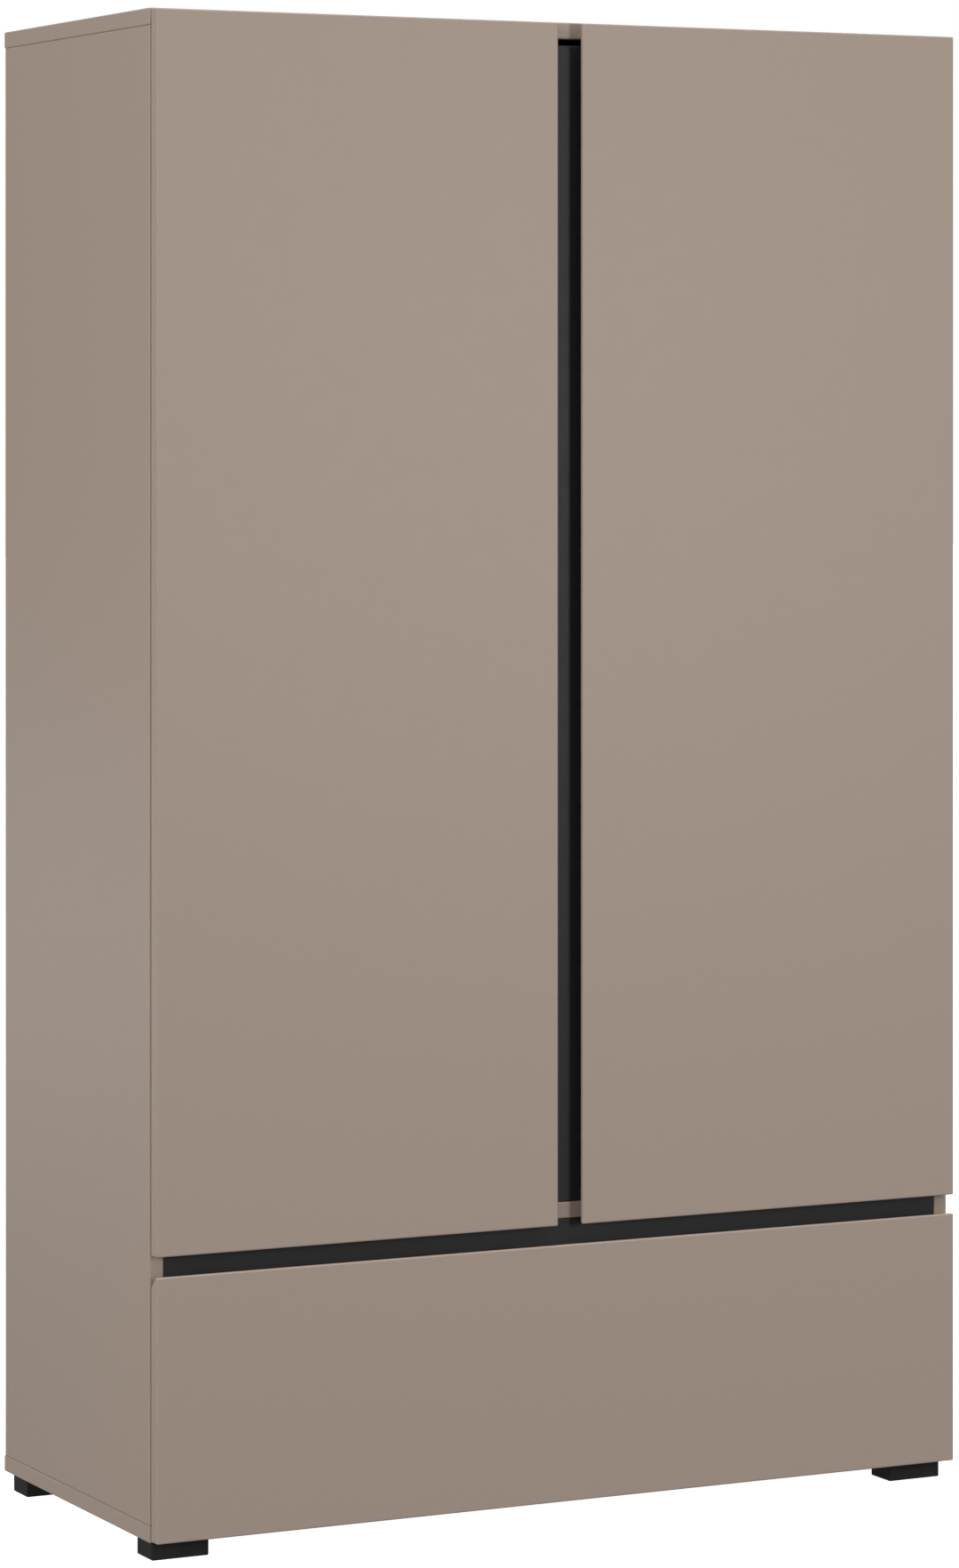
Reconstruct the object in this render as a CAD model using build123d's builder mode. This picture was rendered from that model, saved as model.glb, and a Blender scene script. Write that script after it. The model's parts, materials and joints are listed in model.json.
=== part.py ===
"""Handle-less two-door wardrobe with a full-width drawer, standing on block feet.

Millimetres, +Z up. The origin is on the floor under the middle of the wardrobe, +X is to the
right of someone who faces the doors, and +Y runs from the doors to the back.
Pieces that come in left and right pairs are modelled on the left and mirrored.
"""
import os

from build123d import *

# Carcass
WIDTH = 1200
DEPTH = 532
HEIGHT = 2000
BOARD = 22
SIDE_BOARD = 20
FOOT_HEIGHT = 25
BACK_THICKNESS = 3
BACK_LIP = 0.5
ARRIS = 2
COVER_ARRIS = 1

# Doors and drawer front
FRONT_THICKNESS = 20
FRONT_GAP = 1.5
FRONT_INSET = 1.5
FRONT_INSET_Z = 2
DRAWER_TOP = 369
DOOR_BOTTOM = 395
GRIP_WIDTH = 37
GRIP_LAND = 6

# Inside
FIXED_SHELF_Z = (401, 423)
LOOSE_SHELF_THICKNESS = 16
LOOSE_SHELF_BAYS = 5
LOOSE_SHELF_SETBACK = 39
LOOSE_SHELF_REAR_GAP = 7
HANG_RAIL_Z = 1600
COVER_THICKNESS = 15.5
COVER_SETBACK = 0.5
COVER_WIDTH = 70
COVER_RAIL_BOTTOM = 345

# Feet
FOOT_WIDTH = 80
FOOT_DEPTH = 50
FOOT_INSET = (7, 8, 17)

# Drawer box and ball runners
DRAWER_BOARD = 16
DRAWER_BOX_Z = (57, 317)
DRAWER_BOX_DEPTH = 460
DRAWER_BOTTOM_Z = (69, 74)
GROOVE_DEPTH = 6
RUNNER_THICKNESS = 12.7
RUNNER_LENGTH = 450
RUNNER_Z = 150

# Single-joint cup hinges. Points are given from the carcass corner: across the side panel from its
# outer face, then backwards from its front edge.
HINGE_Z = (500, 965, 1430, 1895)
HINGE_PIVOT = (7.6, -9.5)
CUP_CENTRE = 21.5
CUP_RADIUS = 17.5
CUP_DEPTH = 13.6
PLATE_SCREW_Y = 37
PLATE_SCREW_PITCH = 32

# Planes and lines that the pieces share
HALF = WIDTH / 2
FRONT = -DEPTH / 2
REAR = DEPTH / 2
FRONT_BACK = FRONT + FRONT_THICKNESS
CARCASS_FRONT = FRONT_BACK + FRONT_GAP
SIDE_REAR = REAR - BACK_THICKNESS - BACK_LIP
INNER = HALF - SIDE_BOARD
SIDE_MID = HALF - SIDE_BOARD / 2
BASE_TOP = FOOT_HEIGHT + BOARD
ROOF_BOTTOM = HEIGHT - BOARD
HALF_BOARD = BOARD / 2
FIXED_SHELF_MID = sum(FIXED_SHELF_Z) / 2
COVER_FRONT = CARCASS_FRONT + COVER_SETBACK
COVER_BACK = COVER_FRONT + COVER_THICKNESS
LOOSE_SHELF_Y = (CARCASS_FRONT + LOOSE_SHELF_SETBACK, SIDE_REAR - LOOSE_SHELF_REAR_GAP)
BAY = (ROOF_BOTTOM - FIXED_SHELF_Z[1]) / LOOSE_SHELF_BAYS
LOOSE_SHELF_LEVELS = [FIXED_SHELF_Z[1] + BAY * k for k in range(1, LOOSE_SHELF_BAYS)]
RAIL_Y = (CARCASS_FRONT + SIDE_REAR) / 2
DRAWER_HALF = INNER - RUNNER_THICKNESS
DRAWER_REAR = FRONT_BACK + DRAWER_BOX_DEPTH


def block(x, y, z, mode=Mode.ADD):
    """A box between two corners."""
    with BuildSketch(Plane.XY.offset(z[0])) as outline:
        with Locations(((x[0] + x[1]) / 2, (y[0] + y[1]) / 2)):
            Rectangle(x[1] - x[0], y[1] - y[0])
    extrude(outline.sketch, amount=z[1] - z[0], mode=mode)


def rounds(plane, points, radius, amount, mode=Mode.ADD):
    """Round pegs, or holes, of one size that start on a plane and run along its normal."""
    with BuildSketch(plane) as outline:
        with Locations(*points):
            Circle(radius)
    extrude(outline.sketch, amount=amount, mode=mode)


def soften(part, size=ARRIS):
    """Round every edge of a board a little."""
    fillet(part.edges(), size)


def save(piece, name):
    """Label a finished piece and write it."""
    piece.part.label = name
    export_step(piece.part, f"parts/{name}.step")


def save_pair(left, stem):
    """Write a left-hand piece and its mirror image."""
    save(left, f"{stem}_left")
    with BuildPart() as right:
        mirror(left.part, about=Plane.YZ)
    save(right, f"{stem}_right")


os.makedirs("parts", exist_ok=True)

# ---------------------------------------------------------------- fixings that join the boards
DOWEL_RADIUS = 4
DOWEL_HALVES = (12, 18)
CAM_RADIUS = 7.5
CAM_DEPTH = 12.5
CAM_SETBACK = 34
CAM_HOLE_PLAY = 2
BOLT_RADIUS = 3.5
BOLT_SINK = 10
DOWEL_Y = (-190, 200)
CAM_Y = (-150, 160)
PIN_RADIUS = 2.5
PIN_SINK = 9
PIN_Y = (-160, 200)
PIN_PITCH = 32
SPARE_HOLES = 2

# Each upright's joint with a lying board: centre of the edge, face of the board, way to the upright
UPRIGHT_JOINTS = (
    (-SIDE_MID, ROOF_BOTTOM, -1),
    (-SIDE_MID, BASE_TOP, 1),
    (0, ROOF_BOTTOM, -1),
    (0, FIXED_SHELF_Z[1], 1),
    (SIDE_MID, ROOF_BOTTOM, -1),
    (SIDE_MID, BASE_TOP, 1),
)


def upright_fixings(x_edge, z_face, way, into_upright, mode=Mode.SUBTRACT):
    """Dowel and bolt holes on one side of a joint between an upright and a lying board."""
    plane = Plane.XY.offset(z_face)
    run = way if into_upright else -way
    dowel = DOWEL_HALVES[1] if into_upright else DOWEL_HALVES[0]
    bolt = CAM_SETBACK if into_upright else BOLT_SINK
    rounds(plane, [(x_edge, y) for y in DOWEL_Y], DOWEL_RADIUS, run * dowel, mode)
    rounds(plane, [(x_edge, y) for y in CAM_Y], BOLT_RADIUS, run * bolt, mode)


def pin_points(levels):
    """Where shelf pins enter an upright, as depth and height."""
    return [(y, level - PIN_RADIUS) for level in levels for y in PIN_Y]


def pin_holes(levels):
    """The pins' holes, with spare ones above and below so that a shelf can be moved."""
    steps = range(-SPARE_HOLES, SPARE_HOLES + 1)
    return [(y, z + PIN_PITCH * step) for y, z in pin_points(levels) for step in steps]


# ---------------------------------------------------------------- carcass boards
HAT_SHELF_LEVELS = LOOSE_SHELF_LEVELS[-1:]

for side_name, side, levels in (("left", -1, HAT_SHELF_LEVELS), ("right", 1, LOOSE_SHELF_LEVELS)):
    inner_x = side * INNER
    outer_x = side * HALF
    with BuildPart() as side_panel:
        block(sorted((inner_x, outer_x)), (CARCASS_FRONT, SIDE_REAR), (BASE_TOP, ROOF_BOTTOM))
        soften(side_panel)
        for x_edge, z_face, way in UPRIGHT_JOINTS:
            if x_edge * side > 0:
                upright_fixings(x_edge, z_face, way, into_upright=True)
                cams = [(y, z_face + way * CAM_SETBACK) for y in CAM_Y]
                rounds(Plane.YZ.offset(inner_x), cams, CAM_RADIUS, side * CAM_DEPTH, Mode.SUBTRACT)
        joint = [(y, FIXED_SHELF_MID) for y in DOWEL_Y]
        rounds(Plane.YZ.offset(inner_x), joint, DOWEL_RADIUS, side * DOWEL_HALVES[0], Mode.SUBTRACT)
        joint = [(y, FIXED_SHELF_MID) for y in CAM_Y]
        rounds(Plane.YZ.offset(inner_x), joint, BOLT_RADIUS, side * BOLT_SINK, Mode.SUBTRACT)
        rounds(Plane.YZ.offset(inner_x), pin_holes(levels), PIN_RADIUS, side * PIN_SINK, Mode.SUBTRACT)
    save(side_panel, f"side_panel_{side_name}")

with BuildPart() as top_panel:
    block((-HALF, HALF), (CARCASS_FRONT, REAR), (ROOF_BOTTOM, HEIGHT))
    soften(top_panel)
    for x_edge, z_face, way in UPRIGHT_JOINTS:
        if z_face == ROOF_BOTTOM:
            upright_fixings(x_edge, z_face, way, into_upright=False)
save(top_panel, "top_panel")

with BuildPart() as bottom_panel:
    block((-HALF, HALF), (CARCASS_FRONT, REAR), (FOOT_HEIGHT, BASE_TOP))
    soften(bottom_panel)
    for x_edge, z_face, way in UPRIGHT_JOINTS:
        if z_face == BASE_TOP:
            upright_fixings(x_edge, z_face, way, into_upright=False)
save(bottom_panel, "bottom_panel")

with BuildPart() as fixed_shelf:
    block((-INNER, INNER), (CARCASS_FRONT, SIDE_REAR), FIXED_SHELF_Z)
    soften(fixed_shelf)
    upright_fixings(0, FIXED_SHELF_Z[1], 1, into_upright=False)
    for side in (-1, 1):
        end = Plane.YZ.offset(side * INNER)
        dowels = [(y, FIXED_SHELF_MID) for y in DOWEL_Y]
        bolts = [(y, FIXED_SHELF_MID) for y in CAM_Y]
        cams = [(side * (INNER - CAM_SETBACK), y) for y in CAM_Y]
        rounds(end, dowels, DOWEL_RADIUS, -side * DOWEL_HALVES[1], Mode.SUBTRACT)
        rounds(end, bolts, BOLT_RADIUS, -side * CAM_SETBACK, Mode.SUBTRACT)
        rounds(Plane.XY.offset(FIXED_SHELF_Z[0]), cams, CAM_RADIUS, CAM_DEPTH + CAM_HOLE_PLAY, Mode.SUBTRACT)
save(fixed_shelf, "fixed_shelf")

# The cover strip ends below the top panel. The partition's top front corner is cut back there.
CORNER_CUT = (24, 14)

with BuildPart() as centre_partition:
    block((-HALF_BOARD, HALF_BOARD), (COVER_BACK, SIDE_REAR), (FIXED_SHELF_Z[1], ROOF_BOTTOM))
    cut_y = (COVER_BACK, COVER_BACK + CORNER_CUT[0])
    block((-HALF_BOARD, HALF_BOARD), cut_y, (ROOF_BOTTOM - CORNER_CUT[1], ROOF_BOTTOM), Mode.SUBTRACT)
    soften(centre_partition)
    for x_edge, z_face, way in UPRIGHT_JOINTS:
        if x_edge == 0:
            upright_fixings(x_edge, z_face, way, into_upright=True)
            cams = [(y, z_face + way * CAM_SETBACK) for y in CAM_Y]
            rounds(Plane.YZ.offset(-HALF_BOARD), cams, CAM_RADIUS, CAM_DEPTH + CAM_HOLE_PLAY, Mode.SUBTRACT)
    left_face = Plane.YZ.offset(-HALF_BOARD)
    right_face = Plane.YZ.offset(HALF_BOARD)
    rounds(left_face, pin_holes(HAT_SHELF_LEVELS), PIN_RADIUS, PIN_SINK, Mode.SUBTRACT)
    rounds(right_face, pin_holes(LOOSE_SHELF_LEVELS), PIN_RADIUS, -PIN_SINK, Mode.SUBTRACT)
save(centre_partition, "centre_partition")

# ---------------------------------------------------------------- back
BACK_SEAM = 1.5
BACK_EDGE_INSET = 2
JOINT_STRIP_FLANGE = 8
WALL_HOLE_X = 450
WALL_HOLE_Z = 1955
WALL_HOLE_RADIUS = 3

with BuildPart() as back_panel:
    back_x = (-HALF + BACK_EDGE_INSET, -BACK_SEAM)
    block(back_x, (SIDE_REAR, SIDE_REAR + BACK_THICKNESS), (BASE_TOP, ROOF_BOTTOM))
    wall_hole = [(-WALL_HOLE_X, WALL_HOLE_Z)]
    rounds(Plane.XZ.offset(-REAR), wall_hole, WALL_HOLE_RADIUS, 2 * BACK_THICKNESS, Mode.SUBTRACT)
save_pair(back_panel, "back_panel")

with BuildPart() as back_joint_strip:
    block((-BACK_SEAM, BACK_SEAM), (SIDE_REAR, REAR), (BASE_TOP, ROOF_BOTTOM))
    flange_x = (-JOINT_STRIP_FLANGE, JOINT_STRIP_FLANGE)
    block(flange_x, (SIDE_REAR + BACK_THICKNESS, REAR), (BASE_TOP, ROOF_BOTTOM))
save(back_joint_strip, "back_joint_strip")

NAIL_RADIUS = 0.9
NAIL_HEAD_RADIUS = 2.5
NAIL_LENGTH = 18
NAIL_ROWS = 13
NAIL_END = 60
SHELF_NAIL_PITCH = 120
SHELF_NAILS = 4

nail_step = (ROOF_BOTTOM - BASE_TOP - 2 * NAIL_END) / (NAIL_ROWS - 1)
nail_heights = [BASE_TOP + NAIL_END + nail_step * row for row in range(NAIL_ROWS)]
nail_points = [(side * SIDE_MID, z) for side in (-1, 1) for z in nail_heights]
for number in range(1, SHELF_NAILS + 1):
    nail_points += [(side * SHELF_NAIL_PITCH * number, FIXED_SHELF_MID) for side in (-1, 1)]
with BuildPart() as back_nails:
    rounds(Plane.XZ.offset(-REAR), nail_points, NAIL_HEAD_RADIUS, BACK_LIP)
    rounds(Plane.XZ.offset(BACK_LIP - REAR), nail_points, NAIL_RADIUS, NAIL_LENGTH)
save(back_nails, "back_nails")

# ---------------------------------------------------------------- board fixings
with BuildPart() as carcass_dowels:
    for x_edge, z_face, way in UPRIGHT_JOINTS:
        points = [(x_edge, y) for y in DOWEL_Y]
        rounds(Plane.XY.offset(z_face), points, DOWEL_RADIUS, way * DOWEL_HALVES[1])
        rounds(Plane.XY.offset(z_face), points, DOWEL_RADIUS, -way * DOWEL_HALVES[0])
    for side in (-1, 1):
        points = [(y, FIXED_SHELF_MID) for y in DOWEL_Y]
        rounds(Plane.YZ.offset(side * INNER), points, DOWEL_RADIUS, -side * DOWEL_HALVES[1])
        rounds(Plane.YZ.offset(side * INNER), points, DOWEL_RADIUS, side * DOWEL_HALVES[0])
save(carcass_dowels, "carcass_dowels")

CAM_SLOT_LENGTH = 10
CAM_SLOT_WIDTH = 1.6
CAM_SLOT_DEPTH = 2
with BuildPart() as cam_locks:
    for x_edge, z_face, way in UPRIGHT_JOINTS:
        points = [(y, z_face + way * CAM_SETBACK) for y in CAM_Y]
        if x_edge == 0:
            face_x, run = -HALF_BOARD, 1
        else:
            run = 1 if x_edge > 0 else -1
            face_x = run * INNER
        rounds(Plane.YZ.offset(face_x), points, CAM_RADIUS, run * CAM_DEPTH)
        with BuildSketch(Plane.YZ.offset(face_x)) as slots:
            with Locations(*points):
                Rectangle(CAM_SLOT_LENGTH, CAM_SLOT_WIDTH, rotation=45)
        extrude(slots.sketch, amount=run * CAM_SLOT_DEPTH, mode=Mode.SUBTRACT)
    for side in (-1, 1):
        points = [(side * (INNER - CAM_SETBACK), y) for y in CAM_Y]
        rounds(Plane.XY.offset(FIXED_SHELF_Z[0]), points, CAM_RADIUS, CAM_DEPTH)
save(cam_locks, "cam_locks")

BOLT_SHANK_RADIUS = 3
bolt_reach = CAM_SETBACK - CAM_RADIUS
with BuildPart() as cam_bolts:
    for x_edge, z_face, way in UPRIGHT_JOINTS:
        points = [(x_edge, y) for y in CAM_Y]
        rounds(Plane.XY.offset(z_face), points, BOLT_SHANK_RADIUS, way * bolt_reach)
        rounds(Plane.XY.offset(z_face), points, BOLT_SHANK_RADIUS, -way * BOLT_SINK)
    for side in (-1, 1):
        points = [(y, FIXED_SHELF_MID) for y in CAM_Y]
        rounds(Plane.YZ.offset(side * INNER), points, BOLT_SHANK_RADIUS, -side * bolt_reach)
        rounds(Plane.YZ.offset(side * INNER), points, BOLT_SHANK_RADIUS, side * BOLT_SINK)
save(cam_bolts, "cam_bolts")

# ---------------------------------------------------------------- loose shelves and hanging rail
SHELF_PLAY = 1
PIN_REACH = 9
PIN_COLLAR_RADIUS = 4
PIN_COLLAR_THICKNESS = 0.8

for number, level in enumerate(LOOSE_SHELF_LEVELS, start=1):
    with BuildPart() as shelf:
        bay_x = (HALF_BOARD + SHELF_PLAY, INNER - SHELF_PLAY)
        block(bay_x, LOOSE_SHELF_Y, (level, level + LOOSE_SHELF_THICKNESS))
        soften(shelf)
    save(shelf, f"loose_shelf_{number}")

with BuildPart() as hat_shelf:
    level = HAT_SHELF_LEVELS[0]
    bay_x = (-INNER + SHELF_PLAY, -HALF_BOARD - SHELF_PLAY)
    block(bay_x, LOOSE_SHELF_Y, (level, level + LOOSE_SHELF_THICKNESS))
    soften(hat_shelf)
save(hat_shelf, "hat_shelf")

pin_faces = (
    (-INNER, 1, HAT_SHELF_LEVELS),
    (-HALF_BOARD, -1, HAT_SHELF_LEVELS),
    (HALF_BOARD, 1, LOOSE_SHELF_LEVELS),
    (INNER, -1, LOOSE_SHELF_LEVELS),
)
with BuildPart() as shelf_pins:
    for face_x, way, levels in pin_faces:
        face = Plane.YZ.offset(face_x)
        rounds(face, pin_points(levels), PIN_RADIUS, way * PIN_REACH)
        rounds(face, pin_points(levels), PIN_RADIUS, -way * PIN_SINK)
        rounds(face, pin_points(levels), PIN_COLLAR_RADIUS, way * PIN_COLLAR_THICKNESS)
save(shelf_pins, "shelf_pins")

RAIL_TALL = 30
RAIL_WIDE = 15
RAIL_WALL = 1.5
RAIL_PLAY = 0.2
SOCKET_WALL = 3
SOCKET_LENGTH = 12
SOCKET_FLOOR = 2


def oval(grow, mode=Mode.ADD):
    """The hanging rail's upright oval, made larger or smaller all round."""
    with Locations((RAIL_Y, HANG_RAIL_Z)):
        SlotOverall(RAIL_TALL + 2 * grow, RAIL_WIDE + 2 * grow, rotation=90, mode=mode)



with BuildPart() as hanging_rail:
    with BuildSketch(Plane.YZ.offset(-INNER + SOCKET_FLOOR)):
        oval(0)
        oval(-RAIL_WALL, Mode.SUBTRACT)
    extrude(amount=INNER - HALF_BOARD - 2 * SOCKET_FLOOR)
save(hanging_rail, "hanging_rail")

with BuildPart() as rail_brackets:
    for face_x, way in ((-INNER, 1), (-HALF_BOARD, -1)):
        with BuildSketch(Plane.YZ.offset(face_x)) as boss:
            oval(SOCKET_WALL)
        with BuildSketch(Plane.YZ.offset(face_x + way * SOCKET_FLOOR)) as socket:
            oval(RAIL_PLAY)
        extrude(boss.sketch, amount=way * SOCKET_LENGTH)
        extrude(socket.sketch, amount=way * SOCKET_LENGTH, mode=Mode.SUBTRACT)
save(rail_brackets, "rail_brackets")

# ---------------------------------------------------------------- dark covers behind the grips
COVER_TOP_GAP = 9
COVER_FOOT_GAP = 0.5

with BuildPart() as centre_cover_strip:
    cover_z = (FIXED_SHELF_Z[1] + COVER_FOOT_GAP, ROOF_BOTTOM - COVER_TOP_GAP)
    block((-COVER_WIDTH / 2, COVER_WIDTH / 2), (COVER_FRONT, COVER_BACK), cover_z)
    soften(centre_cover_strip, COVER_ARRIS)
save(centre_cover_strip, "centre_cover_strip")

with BuildPart() as drawer_cover_rail:
    block((-INNER, INNER), (COVER_FRONT, COVER_BACK), (COVER_RAIL_BOTTOM, FIXED_SHELF_Z[0]))
    soften(drawer_cover_rail, COVER_ARRIS)
save(drawer_cover_rail, "drawer_cover_rail")

BUFFER_RADIUS = 4
BUFFER_THICKNESS = 1.2
DOOR_BUFFER_X = 60
DRAWER_BUFFER_X = 520
with BuildPart() as door_buffers:
    points = [(x, HEIGHT - HALF_BOARD) for x in (-DOOR_BUFFER_X, DOOR_BUFFER_X)]
    points += [(x, FIXED_SHELF_MID) for x in (-DOOR_BUFFER_X, DOOR_BUFFER_X)]
    points += [(x, BASE_TOP - HALF_BOARD) for x in (-DRAWER_BUFFER_X, DRAWER_BUFFER_X)]
    rounds(Plane.XZ.offset(-CARCASS_FRONT), points, BUFFER_RADIUS, BUFFER_THICKNESS)
save(door_buffers, "door_buffers")

# ---------------------------------------------------------------- feet
FOOT_SCREW_INSET = 20
FOOT_SCREW_RADIUS = 2
FOOT_SCREW_HEAD_RADIUS = 4
FOOT_SCREW_HEAD_HEIGHT = 3
FOOT_SCREW_HEAD_PLAY = 0.5
FOOT_SCREW_LENGTH = 39
FOOT_SCREW_SINK = 1

foot_x = (HALF - FOOT_INSET[0] - FOOT_WIDTH, HALF - FOOT_INSET[0])
foot_rows = {
    "front": (CARCASS_FRONT + FOOT_INSET[1], CARCASS_FRONT + FOOT_INSET[1] + FOOT_DEPTH),
    "rear": (REAR - FOOT_INSET[2] - FOOT_DEPTH, REAR - FOOT_INSET[2]),
}
foot_screw_x = (foot_x[0] + FOOT_SCREW_INSET, foot_x[1] - FOOT_SCREW_INSET)
sink_radius = FOOT_SCREW_HEAD_RADIUS + FOOT_SCREW_HEAD_PLAY
sink_depth = FOOT_SCREW_SINK + FOOT_SCREW_HEAD_HEIGHT
foot_screw_points = []
for row, foot_y in foot_rows.items():
    points = [(-x, sum(foot_y) / 2) for x in foot_screw_x]
    foot_screw_points += points + [(-x, y) for x, y in points]
    with BuildPart() as foot:
        block((-foot_x[1], -foot_x[0]), foot_y, (0, FOOT_HEIGHT))
        soften(foot)
        rounds(Plane.XY, points, FOOT_SCREW_RADIUS, FOOT_HEIGHT, Mode.SUBTRACT)
        rounds(Plane.XY, points, sink_radius, sink_depth, Mode.SUBTRACT)
    save_pair(foot, f"foot_{row}")

with BuildPart() as foot_screws:
    head_plane = Plane.XY.offset(FOOT_SCREW_SINK)
    rounds(head_plane, foot_screw_points, FOOT_SCREW_HEAD_RADIUS, FOOT_SCREW_HEAD_HEIGHT)
    rounds(head_plane, foot_screw_points, FOOT_SCREW_RADIUS, FOOT_SCREW_LENGTH)
save(foot_screws, "foot_screws")

# ---------------------------------------------------------------- anti-tip wall brackets
BRACKET_WIDTH = 30
BRACKET_LEG = 40
BRACKET_GAUGE = 2
with BuildPart() as wall_brackets:
    for x in (-WALL_HOLE_X, WALL_HOLE_X):
        wide = (x - BRACKET_WIDTH / 2, x + BRACKET_WIDTH / 2)
        block(wide, (SIDE_REAR - BRACKET_GAUGE, SIDE_REAR), (ROOF_BOTTOM - BRACKET_LEG, ROOF_BOTTOM))
        block(wide, (SIDE_REAR - BRACKET_LEG, SIDE_REAR), (ROOF_BOTTOM - BRACKET_GAUGE, ROOF_BOTTOM))
    points = [(x, WALL_HOLE_Z) for x in (-WALL_HOLE_X, WALL_HOLE_X)]
    rounds(Plane.XZ.offset(-SIDE_REAR), points, WALL_HOLE_RADIUS, 2 * BRACKET_GAUGE, Mode.SUBTRACT)
save(wall_brackets, "wall_brackets")

# ---------------------------------------------------------------- doors
door_z = (DOOR_BOTTOM, HEIGHT - FRONT_INSET_Z)
door_outer = -HALF + FRONT_INSET
door_meeting = -GRIP_WIDTH / 2
bevel = FRONT_THICKNESS - GRIP_LAND
cup_points = [(-HALF + CUP_CENTRE, z) for z in HINGE_Z]

with BuildPart() as door:
    with BuildSketch(Plane.XY.offset(door_z[0])):
        with BuildLine():
            Polyline(
                (door_outer, FRONT),
                (door_meeting, FRONT),
                (door_meeting, FRONT + GRIP_LAND),
                (door_meeting - bevel, FRONT_BACK),
                (door_outer, FRONT_BACK),
                close=True,
            )
        make_face()
    extrude(amount=door_z[1] - door_z[0])
    soften(door)
    rounds(Plane.XZ.offset(-FRONT_BACK), cup_points, CUP_RADIUS, CUP_DEPTH, Mode.SUBTRACT)
save_pair(door, "door")

# ---------------------------------------------------------------- hinge cups on the doors
CUP_WALL = 1
CUP_FLOOR = 0.8
FLANGE_WIDTH = 35
FLANGE_HEIGHT = 64
FLANGE_CORNER = 5
FLANGE_THICKNESS = 0.8
EAR_Z = (4.2, 6.4)
EAR_X = (5.6, 10.4)
EAR_HEIGHT = 7
HINGE_PIN_RADIUS = 1
PIN_FIT = 0.05

hinge_pivot = (-HALF + HINGE_PIVOT[0], CARCASS_FRONT + HINGE_PIVOT[1])
cup_floor = FRONT_BACK - CUP_DEPTH + CUP_FLOOR
door_back = Plane.XZ.offset(-FRONT_BACK)
flange_top = Plane.XZ.offset(-FRONT_BACK - FLANGE_THICKNESS)

with BuildPart() as hinge_cups:
    with BuildSketch(door_back) as flanges:
        with Locations(*cup_points):
            RectangleRounded(FLANGE_WIDTH, FLANGE_HEIGHT, FLANGE_CORNER)
    extrude(flanges.sketch, amount=-FLANGE_THICKNESS)
    rounds(door_back, cup_points, CUP_RADIUS, CUP_DEPTH)
    cup_hollow = CUP_DEPTH - CUP_FLOOR + FLANGE_THICKNESS
    rounds(flange_top, cup_points, CUP_RADIUS - CUP_WALL, cup_hollow, Mode.SUBTRACT)
    for z in HINGE_Z:
        for low, high in ((-EAR_Z[1], -EAR_Z[0]), EAR_Z):
            ear_x = (-HALF + EAR_X[0], -HALF + EAR_X[1])
            block(ear_x, (cup_floor, cup_floor + EAR_HEIGHT), (z + low, z + high))
        pin_plane = Plane.XY.offset(z - EAR_Z[1])
        rounds(pin_plane, [hinge_pivot], HINGE_PIN_RADIUS, 2 * EAR_Z[1], Mode.SUBTRACT)
save_pair(hinge_cups, "hinge_cups")

with BuildPart() as hinge_pins:
    for z in HINGE_Z:
        rounds(Plane.XY.offset(z - EAR_Z[1]), [hinge_pivot], HINGE_PIN_RADIUS, 2 * EAR_Z[1])
save_pair(hinge_pins, "hinge_pins")

CUP_SCREW_PITCH = 48
CUP_SCREW_RADIUS = 1.6
CUP_SCREW_LENGTH = 13
CUP_SCREW_HEAD_RADIUS = 3.2
CUP_SCREW_HEAD_HEIGHT = 0.4
with BuildPart() as cup_screws:
    points = [(x, z + step * CUP_SCREW_PITCH / 2) for x, z in cup_points for step in (-1, 1)]
    rounds(flange_top, points, CUP_SCREW_RADIUS, CUP_SCREW_LENGTH)
    rounds(flange_top, points, CUP_SCREW_HEAD_RADIUS, -CUP_SCREW_HEAD_HEIGHT)
save_pair(cup_screws, "hinge_cup_screws")

# ---------------------------------------------------------------- hinge plates and arms
PLATE_THICKNESS = 2.5
PLATE_CORE_LENGTH = 46
PLATE_CORE_HEIGHT = 18
PLATE_CORE_SHIFT = 8
PLATE_WING_LENGTH = 14
PLATE_WING_HEIGHT = 52
PLATE_WING_CORNER = 5
ARM_X = 32
ARM_Y = (14, 66)
ARM_HALF = 8
NECK_HALF = 4
NECK_WIDTH = 3
NECK_DIP = -2.9
NECK_DIP_START = 5.4
NECK_DIP_END = 19.4
NECK_RISE = -7
NECK_ROOT = 2
NECK_BEND = 4
KNUCKLE_RADIUS = 1.9

plate_mid_y = CARCASS_FRONT + PLATE_SCREW_Y
with BuildPart() as hinge_plates:
    with BuildSketch(Plane.YZ.offset(-INNER)):
        with Locations(*[(plate_mid_y + PLATE_CORE_SHIFT, z) for z in HINGE_Z]):
            Rectangle(PLATE_CORE_LENGTH, PLATE_CORE_HEIGHT)
        with Locations(*[(plate_mid_y, z) for z in HINGE_Z]):
            RectangleRounded(PLATE_WING_LENGTH, PLATE_WING_HEIGHT, PLATE_WING_CORNER)
    extrude(amount=PLATE_THICKNESS)
save_pair(hinge_plates, "hinge_plates")

PLATE_SCREW_RADIUS = 2.4
PLATE_SCREW_LENGTH = 14
PLATE_SCREW_HEAD_RADIUS = 4.5
PLATE_SCREW_HEAD_HEIGHT = 1.5
plate_screw_points = [(plate_mid_y, z + s * PLATE_SCREW_PITCH / 2) for z in HINGE_Z for s in (-1, 1)]
with BuildPart() as plate_screws:
    for side in (-1, 1):
        head_plane = Plane.YZ.offset(side * (INNER - PLATE_THICKNESS))
        rounds(head_plane, plate_screw_points, PLATE_SCREW_RADIUS, side * PLATE_SCREW_LENGTH)
        rounds(head_plane, plate_screw_points, PLATE_SCREW_HEAD_RADIUS, -side * PLATE_SCREW_HEAD_HEIGHT)
save(plate_screws, "hinge_plate_screws")

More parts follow.
